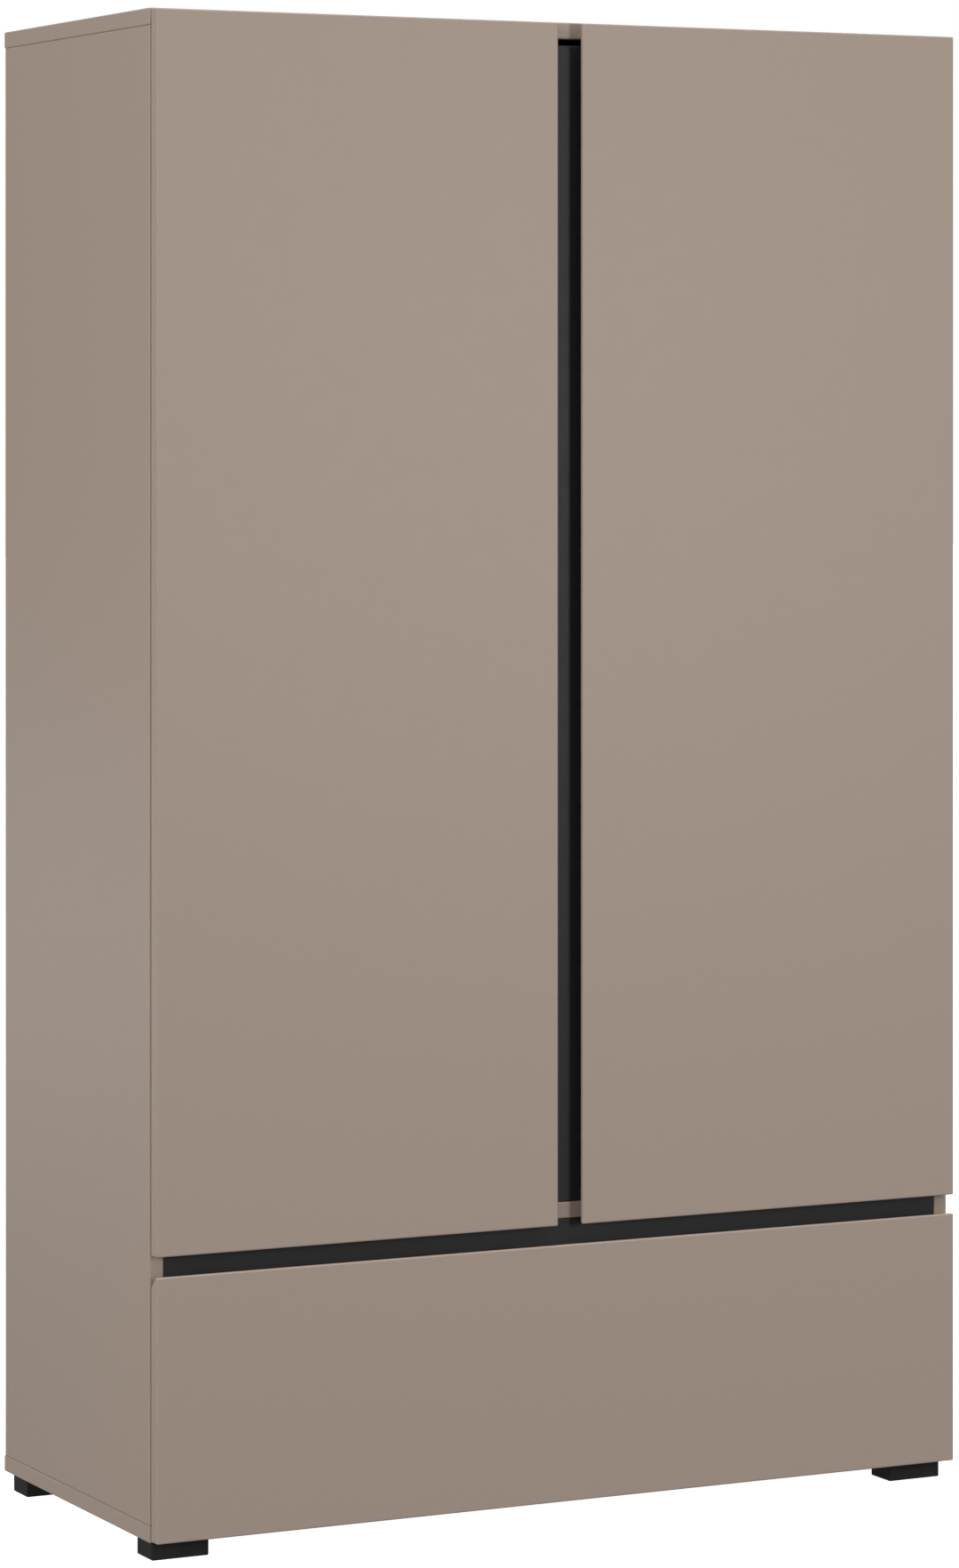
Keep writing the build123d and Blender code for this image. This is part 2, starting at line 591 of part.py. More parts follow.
# The neck dips to the cup's floor, so that the open door's rim passes under it
arm_x = (-INNER + PLATE_THICKNESS, -HALF + ARM_X + NECK_WIDTH / 2)
arm_y = (CARCASS_FRONT + ARM_Y[0], CARCASS_FRONT + ARM_Y[1])
neck_points = (
    hinge_pivot,
    (hinge_pivot[0] + NECK_DIP_START, hinge_pivot[1] + NECK_DIP),
    (hinge_pivot[0] + NECK_DIP_END, hinge_pivot[1] + NECK_DIP),
    (-HALF + ARM_X, CARCASS_FRONT + NECK_RISE),
    (-HALF + ARM_X, arm_y[0] + NECK_ROOT),
)
with BuildPart() as hinge_arms:
    for z in HINGE_Z:
        with BuildSketch(Plane.XY.offset(z - NECK_HALF)) as neck:
            with BuildLine() as spine:
                FilletPolyline(*neck_points, radius=NECK_BEND)
            trace(spine.line, line_width=NECK_WIDTH)
            with Locations(hinge_pivot):
                Circle(KNUCKLE_RADIUS)
            with Locations(hinge_pivot):
                Circle(HINGE_PIN_RADIUS + PIN_FIT, mode=Mode.SUBTRACT)
        extrude(neck.sketch, amount=2 * NECK_HALF)
        block(arm_x, arm_y, (z - ARM_HALF, z + ARM_HALF))
save_pair(hinge_arms, "hinge_arms")

# ---------------------------------------------------------------- drawer runners
RUNNER_SETBACK = 4
RUNNER_Y = (FRONT_BACK + RUNNER_SETBACK, FRONT_BACK + RUNNER_SETBACK + RUNNER_LENGTH)
OUTER_LIP = 9
OUTER_HALF_HEIGHT = 22.8
MIDDLE_WEB = 3.8
MIDDLE_LIP = 10.5
MIDDLE_HALF_HEIGHT = 18
INNER_LIP = 6.7
INNER_HALF_HEIGHT = 13
OUTER_GAUGE = 1.2
MIDDLE_GAUGE = 1


def channel(web_x, lip_x, half_height, gauge):
    """A steel channel that opens from its web at web_x towards lip_x."""
    way = 1 if lip_x > web_x else -1
    block(sorted((web_x, web_x + way * gauge)), RUNNER_Y, (RUNNER_Z - half_height, RUNNER_Z + half_height))
    for low, high in ((-half_height, gauge - half_height), (half_height - gauge, half_height)):
        block(sorted((web_x, lip_x)), RUNNER_Y, (RUNNER_Z + low, RUNNER_Z + high))


with BuildPart() as runner_outer:
    channel(-INNER, -INNER + OUTER_LIP, OUTER_HALF_HEIGHT, OUTER_GAUGE)
save_pair(runner_outer, "runner_outer")

with BuildPart() as runner_middle:
    channel(-INNER + MIDDLE_WEB, -INNER + MIDDLE_LIP, MIDDLE_HALF_HEIGHT, MIDDLE_GAUGE)
save_pair(runner_middle, "runner_middle")

with BuildPart() as runner_inner:
    channel(-DRAWER_HALF, -DRAWER_HALF - INNER_LIP, INNER_HALF_HEIGHT, OUTER_GAUGE)
save_pair(runner_inner, "runner_inner")

# ---------------------------------------------------------------- drawer
DRAWER_CAM_Z = (110, 270)
DRAWER_BACK_TOP = DRAWER_BOX_Z[1] - 10
GROOVE_PLAY = 0.2
GROOVE_Z = (DRAWER_BOTTOM_Z[0], DRAWER_BOTTOM_Z[1] + GROOVE_PLAY)
BRACE_HALF_WIDTH = 30
box_y = (FRONT_BACK, DRAWER_REAR)
inside_x = (-DRAWER_HALF + DRAWER_BOARD, DRAWER_HALF - DRAWER_BOARD)
back_y = (DRAWER_REAR - DRAWER_BOARD, DRAWER_REAR)
bottom_x = (inside_x[0] - GROOVE_DEPTH, inside_x[1] + GROOVE_DEPTH)
bottom_y = (FRONT_BACK - GROOVE_DEPTH, back_y[0] + GROOVE_DEPTH)

with BuildPart() as drawer_front:
    with BuildSketch(Plane.YZ.offset(-HALF + FRONT_INSET)):
        with BuildLine():
            Polyline(
                (FRONT, FOOT_HEIGHT + FRONT_INSET_Z),
                (FRONT, DRAWER_TOP),
                (FRONT + GRIP_LAND, DRAWER_TOP),
                (FRONT_BACK, DRAWER_TOP - bevel),
                (FRONT_BACK, FOOT_HEIGHT + FRONT_INSET_Z),
                close=True,
            )
        make_face()
    extrude(amount=WIDTH - 2 * FRONT_INSET)
    soften(drawer_front)
    block(bottom_x, (bottom_y[0], FRONT_BACK), GROOVE_Z, Mode.SUBTRACT)
save(drawer_front, "drawer_front")

with BuildPart() as drawer_side:
    block((-DRAWER_HALF, inside_x[0]), box_y, DRAWER_BOX_Z)
    block((bottom_x[0], inside_x[0]), (FRONT_BACK, bottom_y[1]), GROOVE_Z, Mode.SUBTRACT)
    points = [(FRONT_BACK + CAM_SETBACK, z) for z in DRAWER_CAM_Z]
    rounds(Plane.YZ.offset(inside_x[0]), points, CAM_RADIUS, -CAM_DEPTH, Mode.SUBTRACT)
save_pair(drawer_side, "drawer_side")

with BuildPart() as drawer_back:
    block(inside_x, back_y, (DRAWER_BOX_Z[0], DRAWER_BACK_TOP))
    block(inside_x, (back_y[0], bottom_y[1]), GROOVE_Z, Mode.SUBTRACT)
save(drawer_back, "drawer_back")

with BuildPart() as drawer_bottom:
    block(bottom_x, bottom_y, DRAWER_BOTTOM_Z)
save(drawer_bottom, "drawer_bottom")

with BuildPart() as drawer_brace:
    brace_z = (DRAWER_BOTTOM_Z[0] - DRAWER_BOARD, DRAWER_BOTTOM_Z[0])
    block((-BRACE_HALF_WIDTH, BRACE_HALF_WIDTH), (FRONT_BACK, back_y[0]), brace_z)
save(drawer_brace, "drawer_brace")

with BuildPart() as drawer_cams:
    for side in (-1, 1):
        points = [(FRONT_BACK + CAM_SETBACK, z) for z in DRAWER_CAM_Z]
        rounds(Plane.YZ.offset(side * inside_x[1]), points, CAM_RADIUS, side * CAM_DEPTH)
save(drawer_cams, "drawer_cams")

DRAWER_SCREW_RADIUS = 2
DRAWER_SCREW_LENGTH = 45
DRAWER_SCREW_HEAD_RADIUS = 3.5
DRAWER_SCREW_HEAD_HEIGHT = 3
with BuildPart() as drawer_screws:
    points = [(DRAWER_REAR - DRAWER_BOARD / 2, z) for z in DRAWER_CAM_Z]
    for side in (-1, 1):
        head_plane = Plane.YZ.offset(side * DRAWER_HALF)
        rounds(head_plane, points, DRAWER_SCREW_RADIUS, -side * DRAWER_SCREW_LENGTH)
        rounds(head_plane, points, DRAWER_SCREW_HEAD_RADIUS, -side * DRAWER_SCREW_HEAD_HEIGHT)
save(drawer_screws, "drawer_screws")
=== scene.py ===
"""Looks of the two-door wardrobe: materials, fitting details, studio floor, light and camera.

Metres, in the frame of the CAD model: +Z up, +X right, +Y from the doors to the back.
"""
import json
import math

import bmesh
import bpy
from mathutils import Matrix, Vector


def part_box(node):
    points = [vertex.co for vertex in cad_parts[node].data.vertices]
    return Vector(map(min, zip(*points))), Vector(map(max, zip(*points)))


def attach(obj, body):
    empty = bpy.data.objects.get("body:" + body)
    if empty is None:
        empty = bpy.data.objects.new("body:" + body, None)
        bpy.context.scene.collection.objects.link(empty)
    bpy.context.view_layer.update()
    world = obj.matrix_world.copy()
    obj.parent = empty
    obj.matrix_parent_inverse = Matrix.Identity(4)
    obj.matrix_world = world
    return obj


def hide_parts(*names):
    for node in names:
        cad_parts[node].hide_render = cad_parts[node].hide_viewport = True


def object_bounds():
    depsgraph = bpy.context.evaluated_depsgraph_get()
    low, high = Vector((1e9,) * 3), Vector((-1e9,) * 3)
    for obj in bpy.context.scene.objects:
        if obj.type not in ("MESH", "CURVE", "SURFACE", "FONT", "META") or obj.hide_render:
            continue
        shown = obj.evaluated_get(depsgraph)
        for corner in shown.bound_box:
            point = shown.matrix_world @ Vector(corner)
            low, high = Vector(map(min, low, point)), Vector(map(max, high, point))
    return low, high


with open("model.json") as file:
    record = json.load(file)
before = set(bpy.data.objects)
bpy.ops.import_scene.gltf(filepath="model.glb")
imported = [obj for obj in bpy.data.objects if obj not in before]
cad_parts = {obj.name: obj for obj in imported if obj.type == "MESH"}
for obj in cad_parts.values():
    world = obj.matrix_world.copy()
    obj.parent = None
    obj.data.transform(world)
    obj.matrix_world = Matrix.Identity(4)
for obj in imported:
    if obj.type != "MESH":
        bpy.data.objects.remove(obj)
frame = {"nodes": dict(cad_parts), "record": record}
CAD_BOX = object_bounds()

MM = 0.001
HANDS = {"left": 1, "right": -1}  # each side of the wardrobe, with the way along X that leads inwards
DOORS_Y = CAD_BOX[0][1]
NODES = frame["nodes"]
SLOT_OF = {row["node"]: row["material_slot"] for row in frame["record"]["subparts"]}


# ------------------------------------------------------------------ material helpers
NOISE_MIDDLE = (0.35, 0.65)  # where most of a noise factor's values lie


def new_material(name):
    """A node material with only a Principled shader and its output."""
    material = bpy.data.materials.new(name)
    material.use_nodes = True
    tree = material.node_tree
    tree.nodes.clear()
    output = tree.nodes.new("ShaderNodeOutputMaterial")
    shader = tree.nodes.new("ShaderNodeBsdfPrincipled")
    tree.links.new(shader.outputs["BSDF"], output.inputs["Surface"])
    return material, tree, shader


def coordinates(tree, scale=(1, 1, 1)):
    """Object coordinates in metres, stretched by a scale."""
    source = tree.nodes.new("ShaderNodeTexCoord")
    mapping = tree.nodes.new("ShaderNodeMapping")
    mapping.inputs["Scale"].default_value = scale
    tree.links.new(source.outputs["Object"], mapping.inputs["Vector"])
    return mapping.outputs["Vector"]


def noise(tree, vector, scale, detail=3.0, roughness=0.5):
    """A noise texture's factor. Scale is in cells for each metre."""
    node = tree.nodes.new("ShaderNodeTexNoise")
    node.inputs["Scale"].default_value = scale
    node.inputs["Detail"].default_value = detail
    node.inputs["Roughness"].default_value = roughness
    tree.links.new(vector, node.inputs["Vector"])
    return node.outputs["Fac"]


def spread(tree, factor, low, high, source=NOISE_MIDDLE):
    """Map a factor from its source range to a range of numbers."""
    node = tree.nodes.new("ShaderNodeMapRange")
    node.inputs["From Min"].default_value = source[0]
    node.inputs["From Max"].default_value = source[1]
    node.inputs["To Min"].default_value = low
    node.inputs["To Max"].default_value = high
    tree.links.new(factor, node.inputs["Value"])
    return node.outputs["Result"]


def colour_mix(tree, factor):
    """A node that mixes its two colours, A and B, by a factor."""
    node = tree.nodes.new("ShaderNodeMix")
    node.data_type = "RGBA"
    tree.links.new(factor, node.inputs["Factor"])
    return node


def blend_colours(tree, factor, dark, light):
    """Mix two colours by a factor."""
    node = colour_mix(tree, factor)
    node.inputs["A"].default_value = (*dark, 1)
    node.inputs["B"].default_value = (*light, 1)
    return node.outputs["Result"]


def bump(tree, shader, height, distance):
    """Raise the surface by a height factor, over a distance in metres."""
    node = tree.nodes.new("ShaderNodeBump")
    node.inputs["Distance"].default_value = distance
    node.inputs["Strength"].default_value = 1.0
    tree.links.new(height, node.inputs["Height"])
    tree.links.new(node.outputs["Normal"], shader.inputs["Normal"])


def shade(colour, factor):
    """A colour made darker or lighter."""
    return tuple(min(1, channel * factor) for channel in colour)


def surface(name, colour, tint, clouds, rough, gloss, grain, stretch=(1, 1, 1)):
    """A material with cloudy colour, uneven gloss and a fine raised grain.

    tint: the least and greatest share of the colour. clouds: their noise scale and detail.
    gloss: what the roughness loses and gains, and the noise scale of its patches.
    grain: its noise scale, and its height in metres.
    """
    material, tree, shader = new_material(name)
    place = coordinates(tree, stretch)
    cloud = spread(tree, noise(tree, place, *clouds), 0, 1)
    shades = [shade(colour, share) for share in tint]
    tree.links.new(blend_colours(tree, cloud, *shades), shader.inputs["Base Color"])
    less, more, patch_scale = gloss
    patches = noise(tree, place, patch_scale)
    tree.links.new(spread(tree, patches, rough - less, rough + more), shader.inputs["Roughness"])
    grain_scale, grain_height = grain
    bump(tree, shader, noise(tree, place, grain_scale, detail=2), grain_height)
    return material, shader


# ------------------------------------------------------------------ coated boards
TAUPE = (0.335, 0.264, 0.216)
BLACK = (0.0145, 0.0152, 0.0157)
BEECH = (0.6, 0.4, 0.22)
HARDBOARD = (0.2, 0.118, 0.065)
BOARD_CLOUDS = (300, 4)
BOARD_GLOSS = (0.01, 0.01, 40)
BOARD_SPECULAR = 0.25

# Colour, roughness, size and height of the grain in metres, and share by which the colour varies
BOARDS = {
    "taupe_front": (TAUPE, 0.46, 0.0016, 3e-5, 0.012),
    "taupe_board": (TAUPE, 0.46, 0.0011, 4e-5, 0.012),
    "drawer_board": (TAUPE, 0.55, 0.0011, 4e-5, 0.012),
    "hdf_back": (TAUPE, 0.6, 0.003, 5e-5, 0.03),
    "black_cover": (BLACK, 0.5, 0.0012, 4e-5, 0.05),
    "beech_dowel": (BEECH, 0.6, 0.002, 1e-4, 0.12),
}

FIBRE_SCALE = 260
FIBRE_DETAIL = 6
FIBRE_ROUGHNESS = 0.7
FIBRE_RANGE = (0.3, 0.7)  # the part of the noise that is stretched over the shades
FIBRE_SHADES = (0.78, 1.2)
REARWARD = (0.4, 0.6)  # a normal's Y, from where the bare fibre starts to where it is whole


def coated_board(name, colour, rough, grain_size, grain_height, mottle):
    """A matt coated board: fine pearl grain, faint cloudy colour and uneven gloss."""
    tint = (1 - mottle, 1 + mottle)
    grain = (1 / grain_size, grain_height)
    material, shader = surface(name, colour, tint, BOARD_CLOUDS, rough, BOARD_GLOSS, grain)
    shader.inputs["Specular IOR Level"].default_value = BOARD_SPECULAR
    return material


def show_brown_rear(material, colour):
    """Leave the face that looks to the rear uncoated: brown pressed fibre."""
    tree = material.node_tree
    shader = next(node for node in tree.nodes if node.type == "BSDF_PRINCIPLED")
    coat = shader.inputs["Base Color"].links[0].from_socket
    clumps = noise(tree, coordinates(tree), FIBRE_SCALE, FIBRE_DETAIL, FIBRE_ROUGHNESS)
    fibre = spread(tree, clumps, 0, 1, FIBRE_RANGE)
    pressed = blend_colours(tree, fibre, *[shade(colour, share) for share in FIBRE_SHADES])
    source = tree.nodes.new("ShaderNodeTexCoord")
    axes = tree.nodes.new("ShaderNodeSeparateXYZ")
    tree.links.new(source.outputs["Normal"], axes.inputs["Vector"])
    mix = colour_mix(tree, spread(tree, axes.outputs["Y"], 0, 1, REARWARD))
    tree.links.new(coat, mix.inputs["A"])
    tree.links.new(pressed, mix.inputs["B"])
    tree.links.new(mix.outputs["Result"], shader.inputs["Base Color"])


# ------------------------------------------------------------------ metals
METAL_TINT = (0.97, 1.03)
METAL_CLOUDS = (90, 4)
METAL_GLOSS = (0.02, 0.03, 220)
METAL_STREAKS = 900

# Colour, roughness, height of the streaks in metres, and how the noise is stretched into streaks
METALS = {
    "zinc_fitting": ((0.66, 0.66, 0.66), 0.42, 4e-6, (1, 1, 1)),
    "screw_steel": ((0.66, 0.66, 0.68), 0.3, 1e-6, (1, 1, 1)),
    "hinge_steel": ((0.76, 0.75, 0.73), 0.33, 1e-6, (1, 8, 1)),
    "runner_steel": ((0.6, 0.61, 0.63), 0.34, 4e-6, (8, 0.4, 8)),
    "rail_chrome": ((0.8, 0.8, 0.82), 0.12, 2e-6, (0.3, 6, 6)),
}


def metal(name, colour, rough, height, streak):
    """Plated steel with drawn streaks and patches of uneven gloss."""
    grain = (METAL_STREAKS, height)
    material, shader = surface(name, colour, METAL_TINT, METAL_CLOUDS, rough, METAL_GLOSS, grain, streak)
    shader.inputs["Metallic"].default_value = 1.0
    return material


# ------------------------------------------------------------------ plastics
PLASTIC_TINT = (0.9, 1.12)
PLASTIC_CLOUDS = (30, 3)
PLASTIC_GLOSS = (0.05, 0.05, 150)
PLASTIC_GRAIN = (2200, 2e-5)

# Colour, roughness and specular level
PLASTICS = {
    "black_foot": ((0.0125, 0.0122, 0.0122), 0.6, 0.2),
    "white_plastic": ((0.68, 0.66, 0.62), 0.5, 0.5),
    "clear_rubber": ((0.7, 0.7, 0.7), 0.35, 0.5),
}


def moulded_plastic(name, colour, rough, specular):
    """Moulded plastic with a fine spark-eroded grain."""
    looks = (PLASTIC_TINT, PLASTIC_CLOUDS, rough, PLASTIC_GLOSS, PLASTIC_GRAIN)
    material, shader = surface(name, colour, *looks)
    shader.inputs["Specular IOR Level"].default_value = specular
    return material


# ------------------------------------------------------------------ materials on the CAD objects
MATERIALS = {}
for make, looks in ((coated_board, BOARDS), (metal, METALS), (moulded_plastic, PLASTICS)):
    for slot_name, look in looks.items():
        MATERIALS[slot_name] = make(slot_name, *look)
show_brown_rear(MATERIALS["hdf_back"], HARDBOARD)


def assign(obj, material):
    """Give an object one material."""
    obj.data.materials.clear()
    obj.data.materials.append(material)


for node_name, node_object in NODES.items():
    assign(node_object, MATERIALS[SLOT_OF[node_name]])


# ------------------------------------------------------------------ mesh helpers
ROUND_STEPS = 24
QUARTER_STEPS = ROUND_STEPS // 4
CROSS_ARM_STEPS = 2
CROSS_WAIST = 0.36
SHARP_EDGE = math.radians(35)
SAME_POINT = 0.001 * MM
SAME_LEVEL = 0.01 * MM

# A screw's outline, from the tip up: shares of the shank's radius, and heights in shank radii over the tip
POINT_RINGS = ((0.15, 0), (0.8, 2.5), (1, 3.5))
# Shares of the head's radius, depths in shares of the head's height, and whether the ring is a cross
HEAD_RINGS = (
    (1, 1, False),
    (1, 0.55, False),
    (0.9, 0.2, False),
    (0.7, 0, False),
    (0.58, 0, True),
    (0.3, 0.8, True),
)


def corners(points):
    """The lowest and the highest corner of the box around points."""
    return [Vector([pick(p[axis] for p in points) for axis in range(3)]) for pick in (min, max)]


def make_piece(name, shape, slot, body, smooth=True):
    """Turn a finished bmesh into a piece of the wardrobe that moves with a body."""
    bmesh.ops.recalc_face_normals(shape, faces=shape.faces)
    mesh = bpy.data.meshes.new(name)
    shape.to_mesh(mesh)
    shape.free()
    piece = bpy.data.objects.new(name, mesh)
    bpy.context.collection.objects.link(piece)
    assign(piece, MATERIALS[slot])
    if smooth:
        mesh.shade_smooth()
        mesh.set_sharp_from_angle(angle=SHARP_EDGE)
    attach(piece, body)
    return piece


def solids(node):
    """The corner points of each separate solid in a CAD node, sorted by where its box starts."""
    shape = bmesh.new()
    shape.from_mesh(NODES[node].data)
    shape.transform(NODES[node].matrix_world)
    bmesh.ops.remove_doubles(shape, verts=shape.verts, dist=SAME_POINT)
    waiting = set(shape.verts)
    found = []
    while waiting:
        front = [waiting.pop()]
        points = []
        while front:
            vert = front.pop()
            points.append(vert.co.copy())
            near = {link.other_vert(vert) for link in vert.link_edges} & waiting
            waiting -= near
            front.extend(near)
        found.append(points)
    shape.free()
    return sorted(found, key=lambda points: [round(value, 5) for value in corners(points)[0]])


def lathe(shape, place, rings):
    """A closed turned solid. Each ring is a radius, a height and whether it is pinched to a cross."""
    loops = []
    for radius, height, is_cross in rings:
        loop = []
        for step in range(ROUND_STEPS):
            in_arm = step % QUARTER_STEPS < CROSS_ARM_STEPS
            reach = radius if in_arm or not is_cross else radius * CROSS_WAIST
            turn = math.tau * step / ROUND_STEPS
            spot = Vector((reach * math.cos(turn), reach * math.sin(turn), height))
            loop.append(shape.verts.new(place @ spot))
        loops.append(loop)
    for low, high in zip(loops, loops[1:]):
        for step in range(ROUND_STEPS):
            after = (step + 1) % ROUND_STEPS
            shape.faces.new((low[step], low[after], high[after], high[step]))
    shape.faces.new(loops[0])
    shape.faces.new(loops[-1])


def screw(shape, head_top, way, head_radius, head_height, shank_radius, length):
    """A domed cross-head screw. way is the direction from its tip to its head."""
    place = Matrix.Translation(head_top) @ way.to_track_quat("Z", "Y").to_matrix().to_4x4()
    rings = [(shank_radius * share, shank_radius * rise - length, False) for share, rise in POINT_RINGS]
    rings.append((shank_radius, -head_height, False))
    for share, depth, is_cross in HEAD_RINGS:
        rings.append((head_radius * share, -head_height * depth, is_cross))
    lathe(shape, place, rings)


def extrude_along_y(shape, outline, near, far):
    """A closed bar with an outline of (x, z) points, between two places on Y."""
    ends = [[shape.verts.new((x, y, z)) for x, z in outline] for y in (near, far)]
    shape.faces.new(ends[0])
    shape.faces.new(ends[1])
    for step in range(len(outline)):
        after = (step + 1) % len(outline)
        shape.faces.new((ends[0][step], ends[0][after], ends[1][after], ends[1][step]))


# ------------------------------------------------------------------ screws with cross recesses
def cross_screws(node, body):
    """Screws in place of a node's plain pegs, each with the peg's own sizes."""
    shape = bmesh.new()
    for points in solids(node):
        low, high = corners(points)
        size = high - low
        middle = (low + high) / 2
        along = max(range(3), key=lambda axis: size[axis])
        across = (along + 1) % 3
        radius_at = {}
        for end in (low[along], high[along]):
            rim = [p for p in points if abs(p[along] - end) < SAME_LEVEL]
            radius_at[end] = max(abs(p[across] - middle[across]) for p in rim)
        tip_end, head_end = sorted(radius_at, key=radius_at.get)  # the head is the wider end
        way = Vector((0, 0, 0))
        way[along] = math.copysign(1, head_end - tip_end)
        head_top = middle.copy()
        head_top[along] = head_end
        under_head = sorted({round(abs(p[along] - head_end), 6) for p in points})[1]
        screw(shape, head_top, way, size[across] / 2, under_head, radius_at[tip_end], size[along])
    piece = make_piece(f"{node}_turned", shape, SLOT_OF[node], body)
    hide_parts(node)


cross_screws("hinge_plate_screws", "carcass")
cross_screws("foot_screws", "carcass")
cross_screws("drawer_screws", "drawer")
for hand in HANDS:
    cross_screws(f"hinge_cup_screws_{hand}", f"door_{hand}")


# ------------------------------------------------------------------ hinge adjusters
ADJUSTER_HEAD = 3.6 * MM
ADJUSTER_PROUD = 1.1 * MM
ADJUSTER_SHANK = 1.8 * MM
ADJUSTER_LENGTH = 6 * MM
ADJUSTERS_FROM_END = (8 * MM, 34 * MM)


def face_x(box, way):
    """Where the face of a box lies that looks along +X, if way is positive, or else along -X."""
    low, high = box
    return high[0] if way > 0 else low[0]


def hinge_adjusters(hand, inward):
    """The two adjusting screws in each hinge arm of a door, with their heads on the arm's inner face."""
    shape = bmesh.new()
    sizes = (ADJUSTER_HEAD, ADJUSTER_PROUD, ADJUSTER_SHANK, ADJUSTER_LENGTH)
    for points in solids(f"hinge_arms_{hand}"):
        low, high = corners(points)
        head_x = face_x((low, high), inward) + inward * ADJUSTER_PROUD
        mid_z = (low.z + high.z) / 2
        for setback in ADJUSTERS_FROM_END:
            screw(shape, Vector((head_x, high.y - setback, mid_z)), Vector((inward, 0, 0)), *sizes)
    make_piece(f"hinge_adjusters_{hand}", shape, "screw_steel", "carcass")


for hand, inward in HANDS.items():
    hinge_adjusters(hand, inward)


# ------------------------------------------------------------------ runner balls, cages and screws
OUTER_GAUGE = 1.2 * MM
MIDDLE_GAUGE = 1.0 * MM
BALL_PLAY = 0.08 * MM
BALLS_IN_ROW = 9
BALL_PITCH = 20 * MM
BALL_SEGMENTS = 16
BALL_RINGS = 10
CAGE_END = 8 * MM
CAGE_GAUGE = 0.6 * MM
RUNNER_SCREWS_AT = (0.08, 0.5, 0.92)  # shares of the runner's length
RUNNER_SCREW_HEAD = 3.6 * MM
RUNNER_SCREW_PROUD = 0.7 * MM
RUNNER_SCREW_SHANK = 1.7 * MM
RUNNER_SCREW_LENGTH = 9 * MM


def ball_track(name, outside, inside, gauge, inward, at_rear):
    """Two rows of balls and their cage, between the lips of one runner channel and the next."""
    out_box, in_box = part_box(outside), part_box(inside)
    (out_low, out_high), (in_low, in_high) = out_box, in_box
    mid_z = (out_low[2] + out_high[2]) / 2
    lip = out_high[2] - gauge
    rise = (lip + in_high[2]) / 2 - mid_z
    radius = (lip - in_high[2]) / 2 - BALL_PLAY
    row_x = (max(out_low[0], in_low[0]) + min(out_high[0], in_high[0])) / 2
    web = face_x(out_box, -inward) + inward * gauge
    plate_x = (web + face_x(in_box, -inward)) / 2
    reach = (BALLS_IN_ROW - 1) * BALL_PITCH
    first = in_high[1] - CAGE_END - reach - radius if at_rear else in_low[1] + CAGE_END + radius
    balls = bmesh.new()
    for side in (-1, 1):
        for count in range(BALLS_IN_ROW):
            centre = Vector((row_x, first + count * BALL_PITCH, mid_z + side * rise))
            steps = {"u_segments": BALL_SEGMENTS, "v_segments": BALL_RINGS}
            bmesh.ops.create_uvsphere(balls, radius=radius, matrix=Matrix.Translation(centre), **steps)
    make_piece(f"{name}_balls", balls, "runner_steel", "runner_middles")
    cage = bmesh.new()
    half = CAGE_GAUGE / 2
    outline = [
        (plate_x - inward * half, mid_z - rise - half),
        (row_x, mid_z - rise - half),
        (row_x, mid_z - rise + half),
        (plate_x + inward * half, mid_z - rise + half),
        (plate_x + inward * half, mid_z + rise - half),
        (row_x, mid_z + rise - half),
        (row_x, mid_z + rise + half),
        (plate_x - inward * half, mid_z + rise + half),
    ]
    extrude_along_y(cage, outline, first - CAGE_END, first + reach + CAGE_END)
    make_piece(f"{name}_cage", cage, "white_plastic", "runner_middles", smooth=False)


def runner_screws(name, node, web_face, way, body):
    """Flat screws that hold a runner's web, with their heads inside the channel."""
    low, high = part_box(node)
    shape = bmesh.new()
    head_x = web_face + way * RUNNER_SCREW_PROUD
    mid_z = (low[2] + high[2]) / 2
    sizes = (RUNNER_SCREW_HEAD, RUNNER_SCREW_PROUD, RUNNER_SCREW_SHANK, RUNNER_SCREW_LENGTH)
    for share in RUNNER_SCREWS_AT:
        head_top = Vector((head_x, low[1] + share * (high[1] - low[1]), mid_z))
        screw(shape, head_top, Vector((way, 0, 0)), *sizes)
    make_piece(name, shape, "screw_steel", body)


for hand, inward in HANDS.items():
    outer, middle, inner = (f"runner_{part}_{hand}" for part in ("outer", "middle", "inner"))
    ball_track(f"runner_outer_track_{hand}", outer, middle, OUTER_GAUGE, inward, True)
    ball_track(f"runner_inner_track_{hand}", middle, inner, MIDDLE_GAUGE, inward, False)
    outer_web = face_x(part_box(outer), -inward) + inward * OUTER_GAUGE
    inner_web = face_x(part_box(inner), inward) - inward * OUTER_GAUGE
    runner_screws(f"runner_carcass_screws_{hand}", outer, outer_web, inward, "carcass")
    runner_screws(f"runner_drawer_screws_{hand}", inner, inner_web, -inward, "drawer")


# ------------------------------------------------------------------ floor
FLOOR_REACH = 40
FLOOR_CLOUDS = (1.5, 3)
FLOOR_GREYS = ((0.86, 0.86, 0.86), (0.9, 0.9, 0.9))
FLOOR_ROUGHNESS = 0.9
FLOOR_SPECULAR = 0.1
FLOOR_GLOW = 0.95


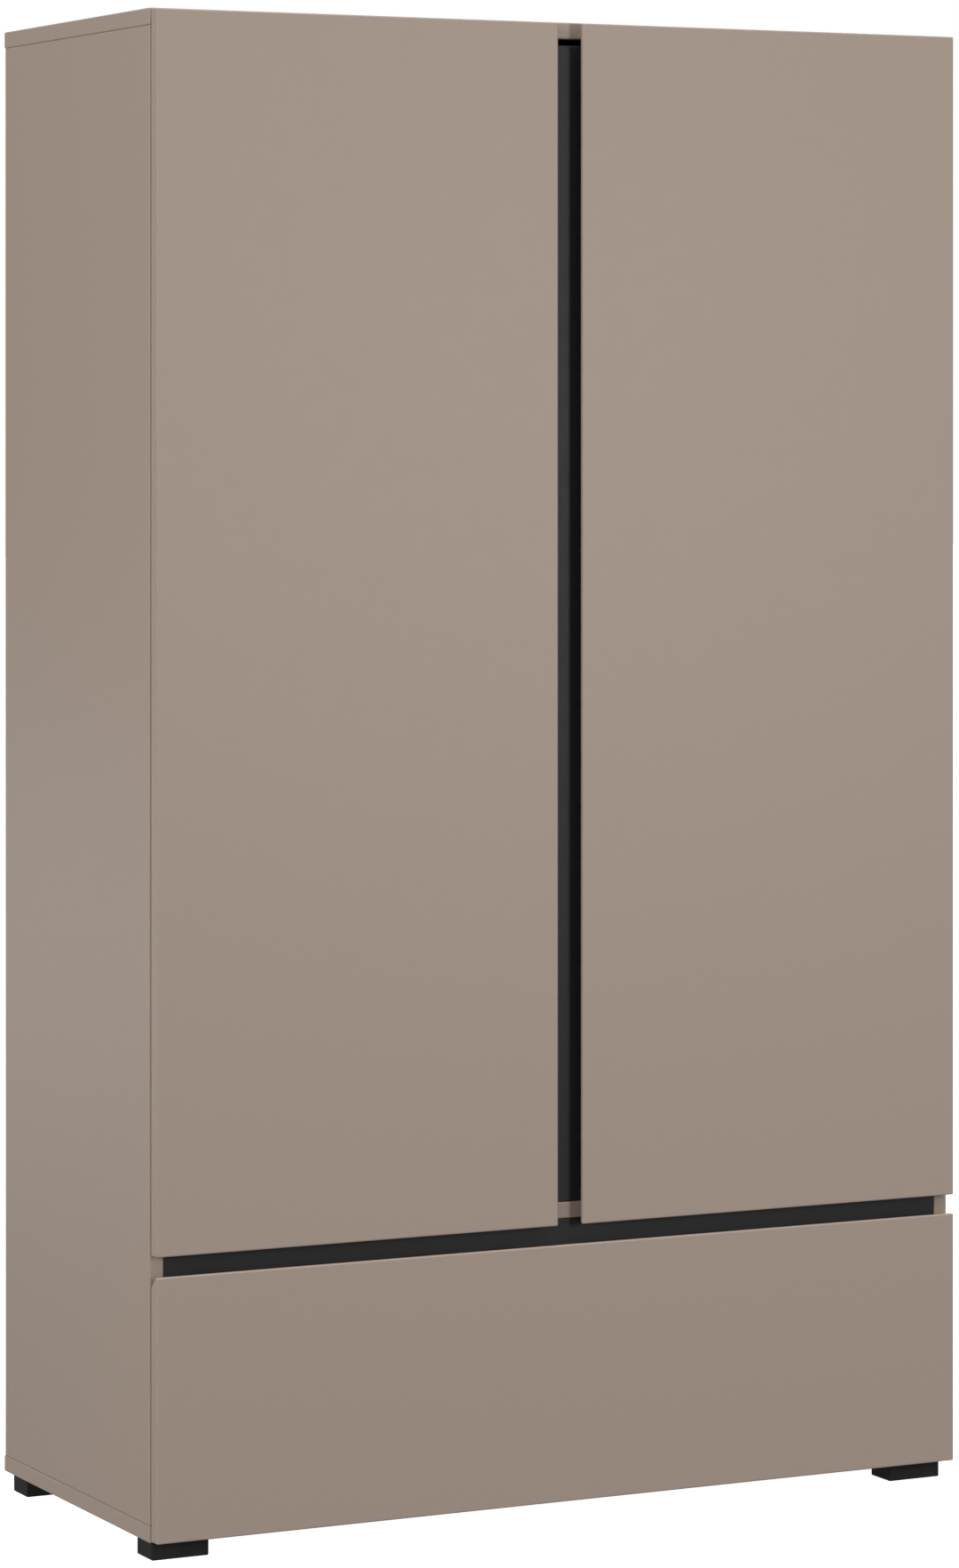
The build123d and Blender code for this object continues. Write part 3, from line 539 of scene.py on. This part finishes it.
def floor():
    """A plain floor that glows nearly white. Only the camera sees it."""
    mesh = bpy.data.meshes.new("floor")
    signs = ((-1, -1), (1, -1), (1, 1), (-1, 1))
    mesh.from_pydata([(x * FLOOR_REACH, y * FLOOR_REACH, 0) for x, y in signs], [], [(0, 1, 2, 3)])
    obj = bpy.data.objects.new("floor", mesh)
    bpy.context.collection.objects.link(obj)
    material, tree, shader = new_material("studio_floor")
    place = coordinates(tree)
    cloud = spread(tree, noise(tree, place, *FLOOR_CLOUDS), 0, 1)
    tint = blend_colours(tree, cloud, *FLOOR_GREYS)
    tree.links.new(tint, shader.inputs["Base Color"])
    shader.inputs["Roughness"].default_value = FLOOR_ROUGHNESS
    shader.inputs["Specular IOR Level"].default_value = FLOOR_SPECULAR
    shader.inputs["Emission Color"].default_value = (1, 1, 1, 1)
    shader.inputs["Emission Strength"].default_value = FLOOR_GLOW
    assign(obj, material)
    obj.visible_diffuse = False
    obj.visible_glossy = False


# ------------------------------------------------------------------ light
AMBIENT_BELOW = 0.29
AMBIENT_ABOVE = 0.44
AMBIENT_BLEND = (-0.5, 0.5)  # a direction's Z, where the lower strength ends and the upper one starts

# Bearing in degrees (0 is straight before the doors, 90 is to the right), distance from the doors' middle,
# height, height of the point aimed at, width and height of the box, power in watts
SOFT_BOXES = {
    "key": (25, 4.6, 1.45, 1.0, (0.9, 1.5), 68),
    "fill": (-67, 7.5, 3.0, 1.2, (3.4, 3.4), 358),
    "overhead": (35, 1.5, 9.0, 0.9, (2.0, 2.0), 460),
    "rim": (-156, 4.5, 0.35, 0.75, (1.2, 0.8), 5),
    "rear": (140, 6.0, 4.0, 1.0, (3.0, 3.0), 90),
}


def soft_box(name, bearing, distance, height, aim_height, size, power):
    """An area light that looks at the middle of the doors' width."""
    turn = math.radians(bearing)
    place = Vector((math.sin(turn) * distance, DOORS_Y - math.cos(turn) * distance, height))
    light = bpy.data.lights.new(name, "AREA")
    light.shape = "RECTANGLE"
    light.size, light.size_y = size
    light.energy = power
    obj = bpy.data.objects.new(name, light)
    obj.location = place
    aim = Vector((0, DOORS_Y, aim_height)) - place
    obj.rotation_euler = aim.to_track_quat("-Z", "Y").to_euler()
    bpy.context.collection.objects.link(obj)


def surround():
    """A world that is white for the camera, and softer light from all round for the rest."""
    world = bpy.data.worlds.new("studio")
    world.use_nodes = True
    tree = world.node_tree
    tree.nodes.clear()
    output = tree.nodes.new("ShaderNodeOutputWorld")
    ambient = tree.nodes.new("ShaderNodeBackground")
    source = tree.nodes.new("ShaderNodeTexCoord")
    axes = tree.nodes.new("ShaderNodeSeparateXYZ")
    tree.links.new(source.outputs["Generated"], axes.inputs["Vector"])
    glow = spread(tree, axes.outputs["Z"], AMBIENT_BELOW, AMBIENT_ABOVE, AMBIENT_BLEND)
    tree.links.new(glow, ambient.inputs["Strength"])
    backdrop = tree.nodes.new("ShaderNodeBackground")
    for background in (ambient, backdrop):
        background.inputs["Color"].default_value = (1, 1, 1, 1)
    seen = tree.nodes.new("ShaderNodeLightPath")
    choose = tree.nodes.new("ShaderNodeMixShader")
    tree.links.new(seen.outputs["Is Camera Ray"], choose.inputs["Fac"])
    tree.links.new(ambient.outputs["Background"], choose.inputs[1])
    tree.links.new(backdrop.outputs["Background"], choose.inputs[2])
    tree.links.new(choose.outputs["Shader"], output.inputs["Surface"])
    bpy.context.scene.world = world


# ------------------------------------------------------------------ camera
CAMERA_PLACE = (-3.218, -6.426, 1.494)
CAMERA_TILT = math.radians(90)
CAMERA_TURN = math.radians(-26.58)
LENS = 119.65
SENSOR_HEIGHT = 36
LENS_SHIFT = -0.2443
CLIP_END = 200


def camera():
    """A level view from the left front, with the horizon above the middle of the picture."""
    data = bpy.data.cameras.new("camera")
    data.sensor_fit = "VERTICAL"
    data.sensor_height = SENSOR_HEIGHT
    data.lens = LENS
    data.shift_y = LENS_SHIFT
    data.clip_end = CLIP_END
    obj = bpy.data.objects.new("camera", data)
    obj.location = CAMERA_PLACE
    obj.rotation_euler = (CAMERA_TILT, 0, CAMERA_TURN)
    bpy.context.collection.objects.link(obj)
    bpy.context.scene.camera = obj


floor()
surround()
for light_name, setting in SOFT_BOXES.items():
    soft_box(light_name, *setting)
camera()
bpy.context.scene.view_settings.view_transform = "Standard"
